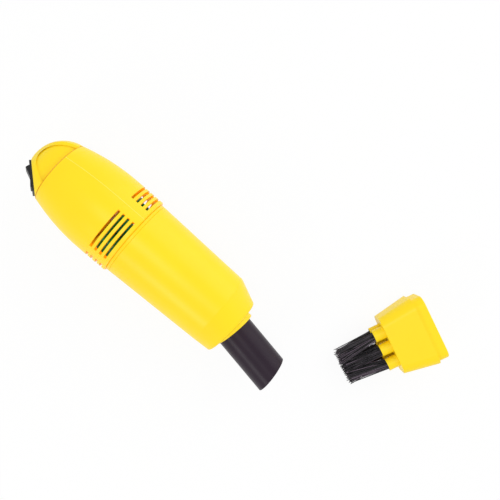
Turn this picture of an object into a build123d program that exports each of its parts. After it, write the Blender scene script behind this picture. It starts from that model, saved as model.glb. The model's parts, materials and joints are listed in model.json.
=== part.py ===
"""Small hand-held desk vacuum cleaner with a push-on brush, in millimetres, +Z up.

The body's axis runs along +X, from the tail to the nose. The seam between the rear
housing and the dust chamber is the plane from which every axial size is counted.
"""
from build123d import *
import math
import os

# Rear housing
housing_radius = 21.1
housing_length = 47.8
housing_tail_radius = housing_radius - 4.4
straight_length = 18.0
wall = 1.8
parting_angle = 25.5
seat_gap = 0.1

# Air outlet slots, counted back from the seam
slot_first = 4.4
slot_pitch = 2.77
slot_count = 4
slot_width = 1.3
slot_arc = 63.5
slot_land = 12.0
slot_gap = 15.0

# Tail cap
dome_axial = housing_tail_radius - 0.4
facet_depth = housing_tail_radius - 5.9
facet_angle = 15.0
cap_wall = 1.8
cap_spigot_length = 4.4
cap_edge_round = 0.6
ridge_width = 1.1
ridge_height = 0.5

# Rocker switch
switch_angle = 48.0
switch_distance = dome_axial - 2.4
bezel_length = 15.0
bezel_width = 10.4
bezel_height = 1.0
switch_length = 13.2
switch_width = 8.4
switch_depth = 9.0
rocker_length = 11.4
rocker_width = 6.8
rocker_rise = 2.3
rocker_travel = 14.0
rocker_gap = 0.3

# Cable entry
cable_radius = 1.8
grommet_neck = 2.6
grommet_flange = 3.4

# Motor
motor_radius = 12.0
motor_length = 21.0
can_wall = 1.0
shaft_radius = 1.0
bush_radius = 2.2
running_gap = 0.03
sleeve_wall = 1.3
sleeve_length = 13.0
motor_screw_offset = 8.0
motor_screw_radius = 0.8
screw_head_radius = 1.8
screw_head_height = 1.0

# Motor plate, held in a groove of the housing
plate_thickness = 1.4
plate_rear = 18.2
groove_lip = 1.35

# Fan
fan_radius = housing_radius - wall - 3.0
fan_blades = 7
fan_plate_rear = 11.9
fan_plate_thickness = 1.2
fan_front = 4.9
blade_thickness = 1.1
blade_inner = 6.0
blade_lean = 12.0
blade_bow = 0.06
blade_inset = 0.2
fan_rest = 180.0

# Front ring
ring_radius = housing_radius - 1.1
ring_width = 1.8
ring_chamfer = 0.3
rear_spigot_length = 1.7
spigot_length = 6.5
spigot_bore = ring_radius - 4.0
guard_thickness = 1.4
guard_setback = 2.0
guard_eye = 9.0
guard_spokes = 6
guard_spoke_width = 1.4
seal_radius = 0.66
seal_place = 3.6

# Filter
filter_length = 5.0
filter_ring_wall = 1.4
filter_bar = 1.6
cloth_thickness = 0.8
cloth_height = 8.0

# Dust chamber
chamber_length = 50.7
shoulder_radius = ring_radius - 1.55
nose_length = 11.2
nose_radius = shoulder_radius - 2.95
nose_offset = 2.4
nose_tilt = 3.4
chamber_wall = 1.7
socket_length = 7.0
mouth_radius = 10.7
mouth_depth = 9.0
mouth_wall = 1.5
mouth_lip = 1.3
shoulder_round = 0.35
nose_round = 1.2

# Tube nozzle
plug_proud = 2.0
tube_radius = 9.2
tube_wall = 1.2
tube_length = 28.1
tube_tilt = 9.4
tube_slant = 13.0
tube_spigot_length = 10.0
tube_spigot_wall = 1.1

# Brush
brush_width = 36.4
brush_height = 23.6
brush_corner = 6.0
brush_length = 18.3
brush_end_width = 30.8
brush_end_height = 19.0
brush_end_corner = 5.0
brush_wall = 1.6
brush_face_wall = 2.4
back_length = 5.5
back_step = 1.2
back_floor = 1.6
socket_depth = 12.0
ferrule_radius = 3.2
ferrule_wall = 0.6
ferrule_length = 5.8
ferrule_pitch = 7.9
ferrule_rows = 2
ferrule_columns = 3
row_pitch = 8.6
suction_slot_width = 18.0
suction_slot_height = 1.6
tuft_base = 1.0
strand_count = 52
strand_radius = 0.2
strand_length = 19.5
strand_spread = 1.25
strand_gather = 0.8

# Where the loose brush lies beside the vacuum
brush_x = 138.2
brush_y = 59.7
brush_heading = -113.3

FULL_TURN = 360.0
parts = {}


def rod(start, end, radius, bore=0.0):
    """Round bar along X, or a tube where a bore is given."""
    section = Circle(radius)
    if bore > 0:
        section = section - Circle(bore)
    return extrude(Plane.YZ.offset(start) * section, end - start)


def turned(*edges):
    """Solid of revolution about X from a closed outline in the XY plane."""
    return revolve(make_face(edges), Axis.X, FULL_TURN)


def turned_points(*points):
    """Solid of revolution about X from straight runs between (x, radius) points."""
    return turned(Polyline(*points, close=True))


def around(shape, angle):
    """Turn a shape about the body's axis."""
    return Rot(angle, 0, 0) * shape


# Rear housing: two moulded halves that meet on a plane through the axis
seam_rear = -ring_width
tail_x = -housing_length
crown_x = -straight_length
crown_drop = housing_radius - housing_tail_radius
crown_run = housing_length - straight_length
crown_arc = (crown_run ** 2 + crown_drop ** 2) / (2 * crown_drop)
crown_centre = housing_radius - crown_arc


def crown_radius(x, inset=0.0):
    """Outer radius of the crowned part of the housing, less an inset."""
    reach = crown_arc - inset
    return crown_centre + math.sqrt(reach ** 2 - (x - crown_x) ** 2)


def housing_form(inset, rear_x, front_x):
    """Body of the housing between two planes, inset from its outer surface."""
    rear = (rear_x, crown_radius(rear_x, inset))
    middle_x = (rear_x + crown_x) / 2
    middle = (middle_x, crown_radius(middle_x, inset))
    crown = (crown_x, housing_radius - inset)
    return turned(
        ThreePointArc(rear, middle, crown),
        Polyline(crown, (front_x, crown[1]), (front_x, 0), (rear_x, 0), rear),
    )


inner_radius = housing_radius - wall
cap_spigot_radius = crown_radius(tail_x, wall) - seat_gap
cap_spigot_end = tail_x + cap_spigot_length
rear_spigot_radius = inner_radius - seat_gap
motor_front = -plate_rear
motor_rear = motor_front - motor_length
sleeve_radius = motor_radius + sleeve_wall
sleeve_centre = (motor_front + motor_rear) / 2 - 1.0
sleeve_rear = sleeve_centre - sleeve_length / 2
sleeve_front = sleeve_centre + sleeve_length / 2
saddle_thickness = 1.6
saddle_inset = 3.0
plate_front = -plate_rear + plate_thickness
plate_radius = inner_radius - seat_gap
groove_rib_radius = inner_radius - 1.7
groove_play = 0.05
edge_break = 0.5
tail_edge_break = 0.3

housing = housing_form(0, tail_x, seam_rear)
housing = chamfer(housing.edges().group_by(Axis.X)[-1], edge_break)
housing = chamfer(housing.edges().group_by(Axis.X)[0], tail_edge_break)
housing -= housing_form(wall, cap_spigot_end, seam_rear)
housing -= rod(tail_x, cap_spigot_end, cap_spigot_radius + seat_gap)
groove_rib = rod(-plate_rear - groove_lip, plate_front + groove_lip, inner_radius + wall / 2, groove_rib_radius)
housing += groove_rib
housing -= rod(-plate_rear - groove_play, plate_front + groove_play, plate_radius + seat_gap / 2)
for saddle_x in (sleeve_rear + saddle_inset, sleeve_front - saddle_inset):
    saddle = rod(saddle_x - saddle_thickness / 2, saddle_x + saddle_thickness / 2, inner_radius, sleeve_radius)
    housing += saddle & housing_form(wall / 2, tail_x, seam_rear)

slot_sector = revolve(
    make_face(
        Polyline(
            (-slot_width / 2, inner_radius - 0.6),
            (slot_width / 2, inner_radius - 0.6),
            (slot_width / 2, housing_radius + 1),
            (-slot_width / 2, housing_radius + 1),
            close=True,
        )
    ),
    Axis.X,
    slot_arc,
)
parting_side = 90.0
slot_starts = [parting_side + slot_land, parting_side + slot_land + slot_arc + slot_gap]
slot_starts += [2 * parting_side - start - slot_arc for start in slot_starts]
for slot_start in slot_starts:
    for index in range(slot_count):
        slot_x = -slot_first - index * slot_pitch
        housing -= Pos(slot_x, 0, 0) * around(slot_sector, slot_start)

half_space = Box(4 * housing_length, 4 * housing_radius, 4 * housing_radius)
pin_radius = 1.2
pin_boss = 2.3
pin_length = 2.4
pin_x = tail_x + cap_spigot_length + pin_boss + 0.4
pin_height = crown_radius(pin_x, wall) - pin_boss + 0.8
left_space = Pos(0, -2 * housing_radius, 0) * half_space
right_space = Pos(0, 2 * housing_radius, 0) * half_space
left_half = housing & left_space
right_half = housing & right_space
boss_keep = housing_form(wall / 2, tail_x, seam_rear)
for side in (-1, 1):
    boss_place = Pos(pin_x, 0, side * pin_height)
    boss = boss_place * Rot(90, 0, 0) * Cylinder(pin_boss, 2 * pin_length)
    boss = boss & boss_keep
    left_half += boss & left_space
    right_half += boss & right_space
    left_half += boss_place * Pos(0, pin_length / 2 - 0.1, 0) * Rot(90, 0, 0) * Cylinder(pin_radius, pin_length)
    right_half -= boss_place * Pos(0, pin_length / 2, 0) * Rot(90, 0, 0) * Cylinder(
        pin_radius + seat_gap, pin_length + 2 * seat_gap
    )

parts["rear_shell_left"] = around(left_half, -parting_angle)
parts["rear_shell_right"] = around(right_half, -parting_angle)

# Tail cap: a dome with two curved facets that leave a band for the switch
dome_centre = tail_x + 2.2
dome_radius = housing_tail_radius / math.sqrt(1 - ((tail_x - dome_centre) / dome_axial) ** 2)
apex_x = dome_centre - dome_axial
facet_bulge = (tail_x - 0.5 * dome_axial + 1.0, facet_depth - 0.8)
facet_end = (apex_x + 2.0, facet_depth * 0.55)
facet_run_out = 5.0
switch_normal = Vector(-math.cos(math.radians(switch_angle)), -math.sin(math.radians(switch_angle)), 0)
switch_up = Vector(-math.sin(math.radians(switch_angle)), math.cos(math.radians(switch_angle)), 0)
switch_origin = Vector(dome_centre, 0, 0) + switch_normal * switch_distance
switch_plane = Plane(origin=switch_origin, x_dir=switch_up, z_dir=switch_normal)


def facet_blade(inset):
    """Slab between the two facets, as wide as the cap, less an inset."""
    front_x = tail_x + 2 * cap_spigot_length
    curve = ThreePointArc((tail_x, facet_depth), facet_bulge, facet_end)
    tip = curve @ 1 + (curve % 1) * facet_run_out
    side = Line((front_x, facet_depth), (tail_x, facet_depth)) + curve + Line(curve @ 1, tip)
    other = mirror(side, Plane.XZ)
    ends = Line((front_x, facet_depth), (front_x, -facet_depth)) + Line(tip, (tip.X, -tip.Y))
    outline = make_face(side.edges() + other.edges() + ends.edges())
    if inset > 0:
        outline = offset(outline, -inset)
    return Rot(90, 0, 0) * extrude(outline, 2 * dome_radius, both=True)


def cap_block(inset):
    """Dome of the tail cap with the switch's flat but no facets, less an inset."""
    axial = dome_axial - inset
    radial = dome_radius - inset
    reach = (tail_x - dome_centre) / axial
    start = math.degrees(math.acos(max(-1.0, reach)))
    rim = (tail_x, radial * math.sqrt(1 - reach ** 2))
    dome = turned(
        EllipticalCenterArc((dome_centre, 0), axial, radial, start, arc_size=180 - start),
        Polyline((dome_centre - axial, 0), (tail_x, 0), rim),
    )
    cutter = Pos(0, 0, dome_radius - inset) * Box(4 * dome_radius, 4 * dome_radius, 2 * dome_radius)
    return dome - switch_plane * cutter


def cap_form(inset):
    """Outer form of the tail cap, inset for its inner surface."""
    return cap_block(inset) & facet_blade(inset)


cap = cap_form(0)
facet_edges = [
    edge
    for edge in cap.edges().filter_by(GeomType.BSPLINE)
    if edge.center().X < tail_x - 1 and edge.length < dome_axial
]
cap = fillet(facet_edges, cap_edge_round)
cap -= cap_block(ridge_width) - facet_blade(ridge_height)
cap -= cap_form(cap_wall)
rim_wall = 1.5
cap += rod(tail_x, cap_spigot_end, cap_spigot_radius, cap_spigot_radius - rim_wall)
rim_land = rod(tail_x - cap_wall, tail_x, cap_spigot_radius, cap_spigot_radius - rim_wall)
cap += rim_land & cap_form(cap_wall / 2)
cap += rod(tail_x, tail_x + cap_wall, cap_spigot_radius - rim_wall / 2) - facet_blade(cap_wall)
cap -= switch_plane * Box(switch_length + 2 * seat_gap, switch_width + 2 * seat_gap, 4 * cap_wall)
grommet_face = apex_x + 0.4
grommet_flange_height = 1.1
cap -= rod(apex_x - 1, grommet_face + grommet_flange_height, grommet_flange)
cap -= rod(apex_x - 1, apex_x + 2 * cap_wall, grommet_neck)
cap -= rod(apex_x + cap_wall, apex_x + 2 * cap_wall, grommet_flange + seat_gap)
parts["tail_cap"] = cap

# Cable entry in the apex of the cap
grommet_inside = apex_x + cap_wall + seat_gap
grommet = turned_points(
    (grommet_face, cable_radius),
    (grommet_face, grommet_flange),
    (grommet_face + grommet_flange_height, grommet_flange),
    (grommet_face + grommet_flange_height, grommet_neck),
    (grommet_inside, grommet_neck),
    (grommet_inside, grommet_flange),
    (grommet_inside + grommet_flange_height, grommet_neck + 0.3),
    (grommet_inside + grommet_flange_height, cable_radius),
)
parts["cable_grommet"] = grommet

# Rocker switch on the band between the facets
case_body = Pos(0, 0, -switch_depth / 2) * Box(switch_length, switch_width, switch_depth)
bezel = extrude(RectangleRounded(bezel_length, bezel_width, 1.2), bezel_height)
case = case_body + bezel
well_depth = 5.0
well = Pos(0, 0, bezel_height - well_depth / 2) * Box(
    rocker_length + 2 * rocker_gap, rocker_width + 2 * rocker_gap, well_depth
)
case -= well
rocker_pin_radius = 0.7
pin_reach = rocker_width + 2 * rocker_gap + 1.0
rocker_pivot_z = bezel_height - 1.6
case -= Pos(0, 0, rocker_pivot_z) * Rot(90, 0, 0) * Cylinder(rocker_pin_radius + 0.05, pin_reach + 0.1)
parts["switch_case"] = switch_plane * case

rocker_half = rocker_length / 2
rocker_low = rocker_pivot_z - 1.3
rocker_side = make_face(
    Polyline(
        (-rocker_half, bezel_height + rocker_rise - 0.9),
        (-rocker_half, rocker_low + 1.2),
        (-1.6, rocker_low),
        (1.6, rocker_low),
        (rocker_half, rocker_low + 1.2),
        (rocker_half, bezel_height + rocker_rise - 0.9),
        (0, bezel_height + rocker_rise - 2.0),
        close=True,
    )
)
rocker = extrude(Plane.XZ * rocker_side, rocker_width / 2, both=True)
rocker &= Pos(0, 0, rocker_pivot_z) * Rot(90, 0, 0) * Cylinder(rocker_half, rocker_width)
rocker += Pos(0, 0, rocker_pivot_z) * Rot(90, 0, 0) * Cylinder(rocker_pin_radius, pin_reach)
rocker = Pos(0, 0, rocker_pivot_z) * Rot(0, -rocker_travel / 2, 0) * Pos(0, 0, -rocker_pivot_z) * rocker
parts["switch_rocker"] = switch_plane * rocker

contact_width = 3.0
contact_thickness = 0.5
contact_length = 3.6
contact_pitch = 7.0
contact_blank = Box(contact_thickness, contact_width, contact_length)
contacts = Part() + [
    Pos(side * contact_pitch / 2, 0, -switch_depth - contact_length / 2) * contact_blank
    for side in (-1, 1)
]
parts["switch_contacts"] = switch_plane * contacts

# Motor
boss_length = 1.6
boss_radius = 3.1
can_face = 1.2
can = turned_points(
    (motor_rear, motor_radius),
    (motor_front, motor_radius),
    (motor_front, boss_radius),
    (motor_front + boss_length, boss_radius),
    (motor_front + boss_length, bush_radius),
    (motor_front - can_face, bush_radius),
    (motor_front - can_face, motor_radius - can_wall),
    (motor_rear, motor_radius - can_wall),
)
can = chamfer(can.edges().filter_by(GeomType.CIRCLE).group_by(SortBy.RADIUS)[-1].sort_by(Axis.X)[-1], 0.5)
screw_hole = rod(motor_front - can_face - 0.5, motor_front + 0.5, motor_screw_radius)
for side in (-1, 1):
    can -= Pos(0, 0, side * motor_screw_offset) * screw_hole
parts["motor_can"] = can

end_flange = 1.4
end_plug = 1.4
rear_boss = 1.6
end_rear = motor_rear - end_flange
end_cap = turned_points(
    (end_rear, motor_radius),
    (motor_rear, motor_radius),
    (motor_rear, motor_radius - can_wall),
    (motor_rear + end_plug, motor_radius - can_wall),
    (motor_rear + end_plug, bush_radius),
    (end_rear - rear_boss, bush_radius),
    (end_rear - rear_boss, boss_radius),
    (end_rear, boss_radius),
)
parts["motor_end_cap"] = end_cap

terminal_offset = 6.5
terminal_length = 3.4
terminal_blank = Box(terminal_length, 2.4, 0.5)
terminals = Part() + [
    Pos(end_rear - terminal_length / 2, 0, side * terminal_offset) * terminal_blank for side in (-1, 1)
]
parts["motor_terminals"] = terminals

bush_length = 2.4
bush_bore = shaft_radius + running_gap
bush_front = motor_front + boss_length
bush_rear = end_rear - rear_boss
front_bush = rod(bush_front - bush_length, bush_front, bush_radius, bush_bore)
rear_bush = rod(bush_rear, bush_rear + bush_length, bush_radius, bush_bore)
parts["motor_bushes"] = Part() + [front_bush, rear_bush]

magnet_outer = motor_radius - can_wall
magnet_wall = 2.0
magnet_rear = motor_rear + 3.0
magnet_front = motor_front - can_face - 1.0
magnet_arc = 130.0
magnet = revolve(
    make_face(
        Polyline(
            (magnet_rear, magnet_outer - magnet_wall),
            (magnet_front, magnet_outer - magnet_wall),
            (magnet_front, magnet_outer),
            (magnet_rear, magnet_outer),
            close=True,
        )
    ),
    Axis.X,
    magnet_arc,
)
magnets = Part() + [around(magnet, half_turn - magnet_arc / 2 - 90) for half_turn in (90, 270)]
parts["motor_magnets"] = magnets

sleeve = rod(sleeve_rear, sleeve_front, sleeve_radius, motor_radius)
parts["motor_sleeve"] = sleeve

# Rotor: shaft, stacked core, windings and commutator
core_radius = magnet_outer - magnet_wall - 0.5
core_rear = magnet_rear + 2.5
core_front = magnet_front - 2.5
hub_radius = 3.0
arm_width = 2.4
shoe_depth = 1.3
pole_count = 3
pole_gap = 14.0
pole_angle = FULL_TURN / pole_count
arm = Pos(0, core_radius / 2, 0) * Rectangle(arm_width, core_radius - shoe_depth / 2)
shoe_ring = Circle(core_radius) - Circle(core_radius - shoe_depth)
core_section = Circle(hub_radius)
for pole in range(pole_count):
    core_section += Rot(0, 0, pole * pole_angle) * arm
core_section += shoe_ring
for pole in range(pole_count):
    notch = Pos(0, core_radius - shoe_depth / 2, 0) * Rectangle(
        2 * core_radius * math.sin(math.radians(pole_gap / 2)), 2 * shoe_depth
    )
    core_section -= Rot(0, 0, (pole + 0.5) * pole_angle) * notch
core_section -= Circle(shaft_radius)
core = extrude(Plane.YZ.offset(core_rear) * core_section, core_front - core_rear)
parts["armature_core"] = core

coil_height = core_radius - shoe_depth - hub_radius - 1.2
coil_width = arm_width + 3.0
coil_over = 1.4
coil_section = Pos(0, hub_radius + 0.6 + coil_height / 2, 0) * (
    Rectangle(coil_width, coil_height) - Rectangle(arm_width, coil_height + 1)
)
coil_cap = Pos(0, hub_radius + 0.6 + coil_height / 2, 0) * Rectangle(coil_width, coil_height)
coils = []
for pole in range(pole_count):
    for core_end, direction in ((core_rear, -1), (core_front, 1)):
        turned_cap = Rot(0, 0, pole * pole_angle) * coil_cap
        coils.append(extrude(Plane.YZ.offset(core_end) * turned_cap, direction * coil_over))
    for side in (-1, 1):
        leg = Rot(0, 0, pole * pole_angle) * (
            Pos(side * (arm_width + (coil_width - arm_width) / 2) / 2, hub_radius + 0.6 + coil_height / 2, 0)
            * Rectangle((coil_width - arm_width) / 2, coil_height - 1.6)
        )
        coils.append(extrude(Plane.YZ.offset(core_rear) * leg, core_front - core_rear))
parts["armature_coils"] = Part() + coils

commutator_radius = 2.6
commutator_length = 2.6
commutator_front = core_rear - coil_over - 0.1
commutator = rod(commutator_front - commutator_length, commutator_front, commutator_radius, shaft_radius)
parts["commutator"] = commutator

shaft_front = -fan_front - 0.3
shaft = rod(end_rear - rear_boss - 0.8, shaft_front, shaft_radius)
parts["motor_shaft"] = shaft

# Motor plate and its screws
motor_plate = rod(-plate_rear, plate_front, plate_radius, boss_radius + 0.15)
for side in (-1, 1):
    motor_plate -= Pos(0, 0, side * motor_screw_offset) * rod(
        -plate_rear - 1, plate_front + 1, motor_screw_radius + seat_gap
    )
parts["motor_plate"] = motor_plate
screws = []
for side in (-1, 1):
    shank = rod(motor_front - can_face, plate_front, motor_screw_radius)
    head = rod(plate_front, plate_front + screw_head_height, screw_head_radius)
    slot_cut = Pos(plate_front + screw_head_height, 0, 0) * Box(0.8, 4 * screw_head_radius, 0.5)
    screws.append(Pos(0, 0, side * motor_screw_offset) * (shank + head - slot_cut))
parts["motor_screws"] = Part() + screws

# Fan: a back plate, a tapered hub and backward-leaning blades
fan_hub_radius = 2.8
fan_plate_front = -fan_plate_rear + fan_plate_thickness
fan_hub_rear = -fan_plate_rear - 1.0
fan = turned_points(
    (fan_hub_rear, shaft_radius),
    (fan_hub_rear, fan_hub_radius),
    (-fan_plate_rear, fan_hub_radius),
    (-fan_plate_rear, fan_radius),
    (fan_plate_front, fan_radius),
    (fan_plate_front + 0.6, fan_hub_radius + 3.0),
    (-fan_front - 0.6, fan_hub_radius),
    (-fan_front - 0.6, shaft_radius),
)
blade_tip_angle = math.radians(-blade_lean)
blade_tip = (fan_radius * math.cos(blade_tip_angle), fan_radius * math.sin(blade_tip_angle))
blade_line = SagittaArc((blade_inner, 0), blade_tip, -blade_bow * fan_radius)
blade_start = fan_plate_front - 0.2
blade = extrude(Plane.YZ.offset(blade_start) * trace(blade_line, blade_thickness), -fan_front - blade_start)
blade &= rod(blade_start - 0.2, -fan_front, fan_radius - blade_inset)
for index in range(fan_blades):
    fan += around(blade, fan_rest + blade_lean + index * FULL_TURN / fan_blades)
parts["fan_impeller"] = fan

# Front ring: rim between the two seam lines, spigots and the fan guard
seal_groove = seal_radius * 1.9
spigot_radius = ring_radius - chamber_wall - seat_gap
guard_front = -guard_setback
guard_rear = guard_front - guard_thickness
rear_spigot_end = seam_rear - rear_spigot_length
rear_spigot_bore = rear_spigot_radius - 1.6
front_ring = turned_points(
    (rear_spigot_end, rear_spigot_bore),
    (rear_spigot_end, rear_spigot_radius),
    (seam_rear, rear_spigot_radius),
    (seam_rear, ring_radius - ring_chamfer),
    (seam_rear + ring_chamfer, ring_radius),
    (-ring_chamfer, ring_radius),
    (0, ring_radius - ring_chamfer),
    (0, spigot_radius),
    (seal_place - seal_radius, spigot_radius),
    (seal_place - seal_radius, spigot_radius - seal_groove),
    (seal_place + seal_radius, spigot_radius - seal_groove),
    (seal_place + seal_radius, spigot_radius),
    (spigot_length, spigot_radius),
    (spigot_length, spigot_bore),
    (guard_front, spigot_bore),
    (guard_front, guard_eye),
    (guard_rear, guard_eye),
    (guard_rear, rear_spigot_bore),
)
spoke = Pos((guard_rear + guard_front) / 2, 0, guard_eye / 2) * Box(
    guard_thickness, guard_spoke_width, guard_eye + 1
)
guard_hub = rod(guard_rear, guard_front, 2.4)
spokes = guard_hub
for index in range(guard_spokes):
    spokes += around(spoke, index * FULL_TURN / guard_spokes)
front_ring += spokes & rod(guard_rear, guard_front, guard_eye + 0.4)
parts["front_ring"] = front_ring

seal_inner = spigot_radius - seal_groove
ring_seal = rod(seal_place - seal_radius, seal_place + seal_radius, seal_inner + 2 * seal_radius, seal_inner)
parts["ring_seal"] = ring_seal

# Filter: a ring with a cross, and a domed cloth
filter_radius = spigot_bore - seat_gap
filter_inner = filter_radius - filter_ring_wall
filter_rear = guard_front
filter_front = filter_rear + filter_length
filter_frame = rod(filter_rear, filter_front, filter_radius, filter_inner)
cross_bar = Pos(filter_rear + filter_bar / 2, 0, 0) * Box(filter_bar, filter_bar, 2 * filter_inner + 1)
cross = cross_bar + around(cross_bar, 90)
filter_frame += cross & rod(filter_rear, filter_front, filter_inner + 0.5)
parts["filter_frame"] = filter_frame

cloth_radius = filter_radius
cloth_peak = filter_front + cloth_height
cloth_sphere = (cloth_radius ** 2 + cloth_height ** 2) / (2 * cloth_height)
cloth_centre = cloth_peak - cloth_sphere
cloth_inside = cloth_sphere - cloth_thickness
outer_reach = math.degrees(math.asin(cloth_radius / cloth_sphere))
inner_reach = math.degrees(math.acos((filter_front - cloth_centre) / cloth_inside))
cloth_outer = CenterArc((cloth_centre, 0), cloth_sphere, 0, outer_reach)
cloth_inner = CenterArc((cloth_centre, 0), cloth_inside, 0, inner_reach)
filter_cloth = turned(
    cloth_outer, Line(cloth_outer @ 1, cloth_inner @ 1), cloth_inner, Line(cloth_inner @ 0, cloth_outer @ 0)
)
parts["filter_cloth"] = filter_cloth

# Dust chamber: a drafted cup and a nose that leans to one side
nose_x = chamber_length + nose_length
nose_centre = Vector(nose_x, -nose_offset, 0)


def leaning_plane(tilt):
    """Plane across the nose at its centre, turned aside by a tilt."""
    direction = Vector(math.cos(math.radians(tilt)), -math.sin(math.radians(tilt)), 0)
    return Plane(origin=nose_centre, x_dir=(0, 0, 1), z_dir=direction)


nose_plane = leaning_plane(nose_tilt)
tube_plane = leaning_plane(tube_tilt)


def along(plane, start, end, radius, bore=0.0):
    """Bar or tube along a plane's normal, counted from the plane."""
    section = Circle(radius)
    if bore > 0:
        section = section - Circle(bore)
    return extrude(plane.offset(start) * section, end - start)


def chamber_form(inset, start):
    """Outer form of the chamber, inset for its inner surface."""
    cup = turned_points(
        (start, 0),
        (start, ring_radius - inset),
        (chamber_length, shoulder_radius - inset),
        (chamber_length, 0),
    )
    shoulder = Plane.YZ.offset(chamber_length) * Circle(shoulder_radius - inset)
    front = nose_plane.offset(-inset) * Rot(0, 0, 90) * Circle(nose_radius - inset)
    nose = loft([shoulder, front], ruled=True)
    return cup + nose


def rims_at(shape, centre, radius):
    """Circular edges of a shape about a centre, with a given radius."""
    return [
        edge
        for edge in shape.edges().filter_by(GeomType.CIRCLE)
        if abs(edge.radius - radius) < 0.01 and (edge.arc_center - centre).length < 0.01
    ]


chamber_outer = chamber_form(0, 0)
shoulder_point = Vector(chamber_length, 0, 0)
chamber_outer = fillet(rims_at(chamber_outer, nose_centre, nose_radius), nose_round)
chamber_outer = fillet(rims_at(chamber_outer, shoulder_point, shoulder_radius), shoulder_round)
chamber = chamber_outer - chamber_form(chamber_wall, socket_length)
chamber -= rod(0, socket_length, spigot_radius + seat_gap)
plug_start = -mouth_depth + mouth_lip
mouth_outer = mouth_radius + seat_gap + mouth_wall
chamber += along(nose_plane, -mouth_depth, -chamber_wall / 2, mouth_outer, mouth_radius)
chamber += along(nose_plane, -mouth_depth, plug_start, mouth_outer, mouth_radius - mouth_lip)
chamber -= along(nose_plane, plug_start, 1, mouth_radius + seat_gap)
parts["front_chamber"] = chamber

# Tube nozzle: a plug in the mouth and a tube pushed on its spigot
tube_bore = tube_radius - tube_wall
spigot_outer = tube_bore - seat_gap / 2
duct_radius = spigot_outer - tube_spigot_wall
spigot_end = plug_proud + tube_spigot_length
plug_face = tube_plane.offset(plug_proud)
slant_room = 2 * tube_radius
cut_block = Pos(0, 0, slant_room) * Box(4 * slant_room, 4 * slant_room, 2 * slant_room)
nozzle_base = along(nose_plane, plug_start, 2 * plug_proud, mouth_radius) - plug_face * cut_block
plug_rim = [edge for edge in nozzle_base.edges() if (edge.center(CenterOf.MASS) - plug_face.origin).length < 1]
nozzle_base = fillet(plug_rim, 0.4)
nozzle_base += along(tube_plane, plug_proud - 1, spigot_end, spigot_outer)
nozzle_base -= along(tube_plane, 2 * plug_start, spigot_end + 1, duct_radius)
parts["nozzle_base"] = nozzle_base

tube_end = plug_proud + tube_length
nozzle_tube = along(tube_plane, plug_proud, tube_end + slant_room, tube_radius, tube_bore)
nozzle_tube -= tube_plane.offset(tube_end) * Rot(tube_slant, 0, 0) * cut_block
parts["nozzle_tube"] = nozzle_tube

# Lead between the switch and the motor, held between their tabs
lead_radius = 0.7
lead_run = 2.5
lead_back = 3.2
lead_sides = 8
contact_end = switch_origin + switch_up * (contact_pitch / 2) - switch_normal * (switch_depth + contact_length)
lead_start = around(Pos(contact_end), -facet_angle).position
lead_away = around(Pos(contact_end - switch_normal * lead_run), -facet_angle).position
lead_end = Vector(end_rear - terminal_length, 0, terminal_offset)
lead_turn = Vector(lead_end.X - lead_back, 0, terminal_offset)
lead_path = Bezier(lead_start, lead_away, lead_turn, lead_end)
lead_section = Plane(origin=lead_start, z_dir=lead_away - lead_start) * RegularPolygon(lead_radius, lead_sides)
parts["switch_lead"] = sweep(lead_section, lead_path)

# Brush, built along +X from its step to its strands
head_taper = math.degrees(math.atan((brush_height - brush_end_height) / 2 / brush_length))


def brush_section(x, width, height, corner):
    """Rounded rectangle across the brush at a distance from its step."""
    return Plane.YZ.offset(x) * RectangleRounded(width, height, corner)


def brush_form(inset, start, end):
    """Tapered body of the brush head, inset for its hollow."""
    share_start = start / brush_length
    share_end = end / brush_length
    sections = []
    for x, share in ((start, share_start), (end, share_end)):
        width = brush_width + (brush_end_width - brush_width) * share - 2 * inset
        height = brush_height + (brush_end_height - brush_height) * share - 2 * inset
        corner = brush_corner + (brush_end_corner - brush_corner) * share - inset
        sections.append(brush_section(x, width, height, corner))
    return loft(sections, ruled=True)


tube_socket = tube_radius + seat_gap
face_inside = brush_length - brush_face_wall
collar_wall = 1.2
collar_end = socket_depth - back_length
collar_lip = 1.2
head = brush_form(0, 0, brush_length)
head -= brush_form(brush_wall, back_floor, face_inside)
collar = rod(0, collar_end + collar_lip, tube_socket + collar_wall, tube_socket - collar_lip)
head += collar & brush_form(0, 0, brush_length)
head -= rod(-1, collar_end, tube_socket)
ferrule_places = [
    ((column - (ferrule_columns - 1) / 2) * ferrule_pitch, (row - (ferrule_rows - 1) / 2) * row_pitch)
    for row in range(ferrule_rows)
    for column in range(ferrule_columns)
]
for place_y, place_z in ferrule_places:
    head -= Pos(0, place_y, place_z) * rod(face_inside - 1, brush_length + 1, ferrule_radius)
head -= Pos(brush_length - brush_face_wall / 2, 0, 0) * Box(
    2 * brush_face_wall, suction_slot_width, suction_slot_height
)

back_width = brush_width - 2 * back_step
back_height = brush_height - 2 * back_step
back = extrude(brush_section(-back_length, back_width, back_height, brush_corner - back_step), back_length)
back = fillet(back.edges().group_by(Axis.X)[0], 0.6)
back -= rod(-back_length - 1, 1, tube_socket)

ferrules = []
tufts = []
potting_depth = 4.4
ferrule_bore = ferrule_radius - ferrule_wall
ferrule_end = brush_length + ferrule_length
golden_turn = math.radians(137.5)


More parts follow.
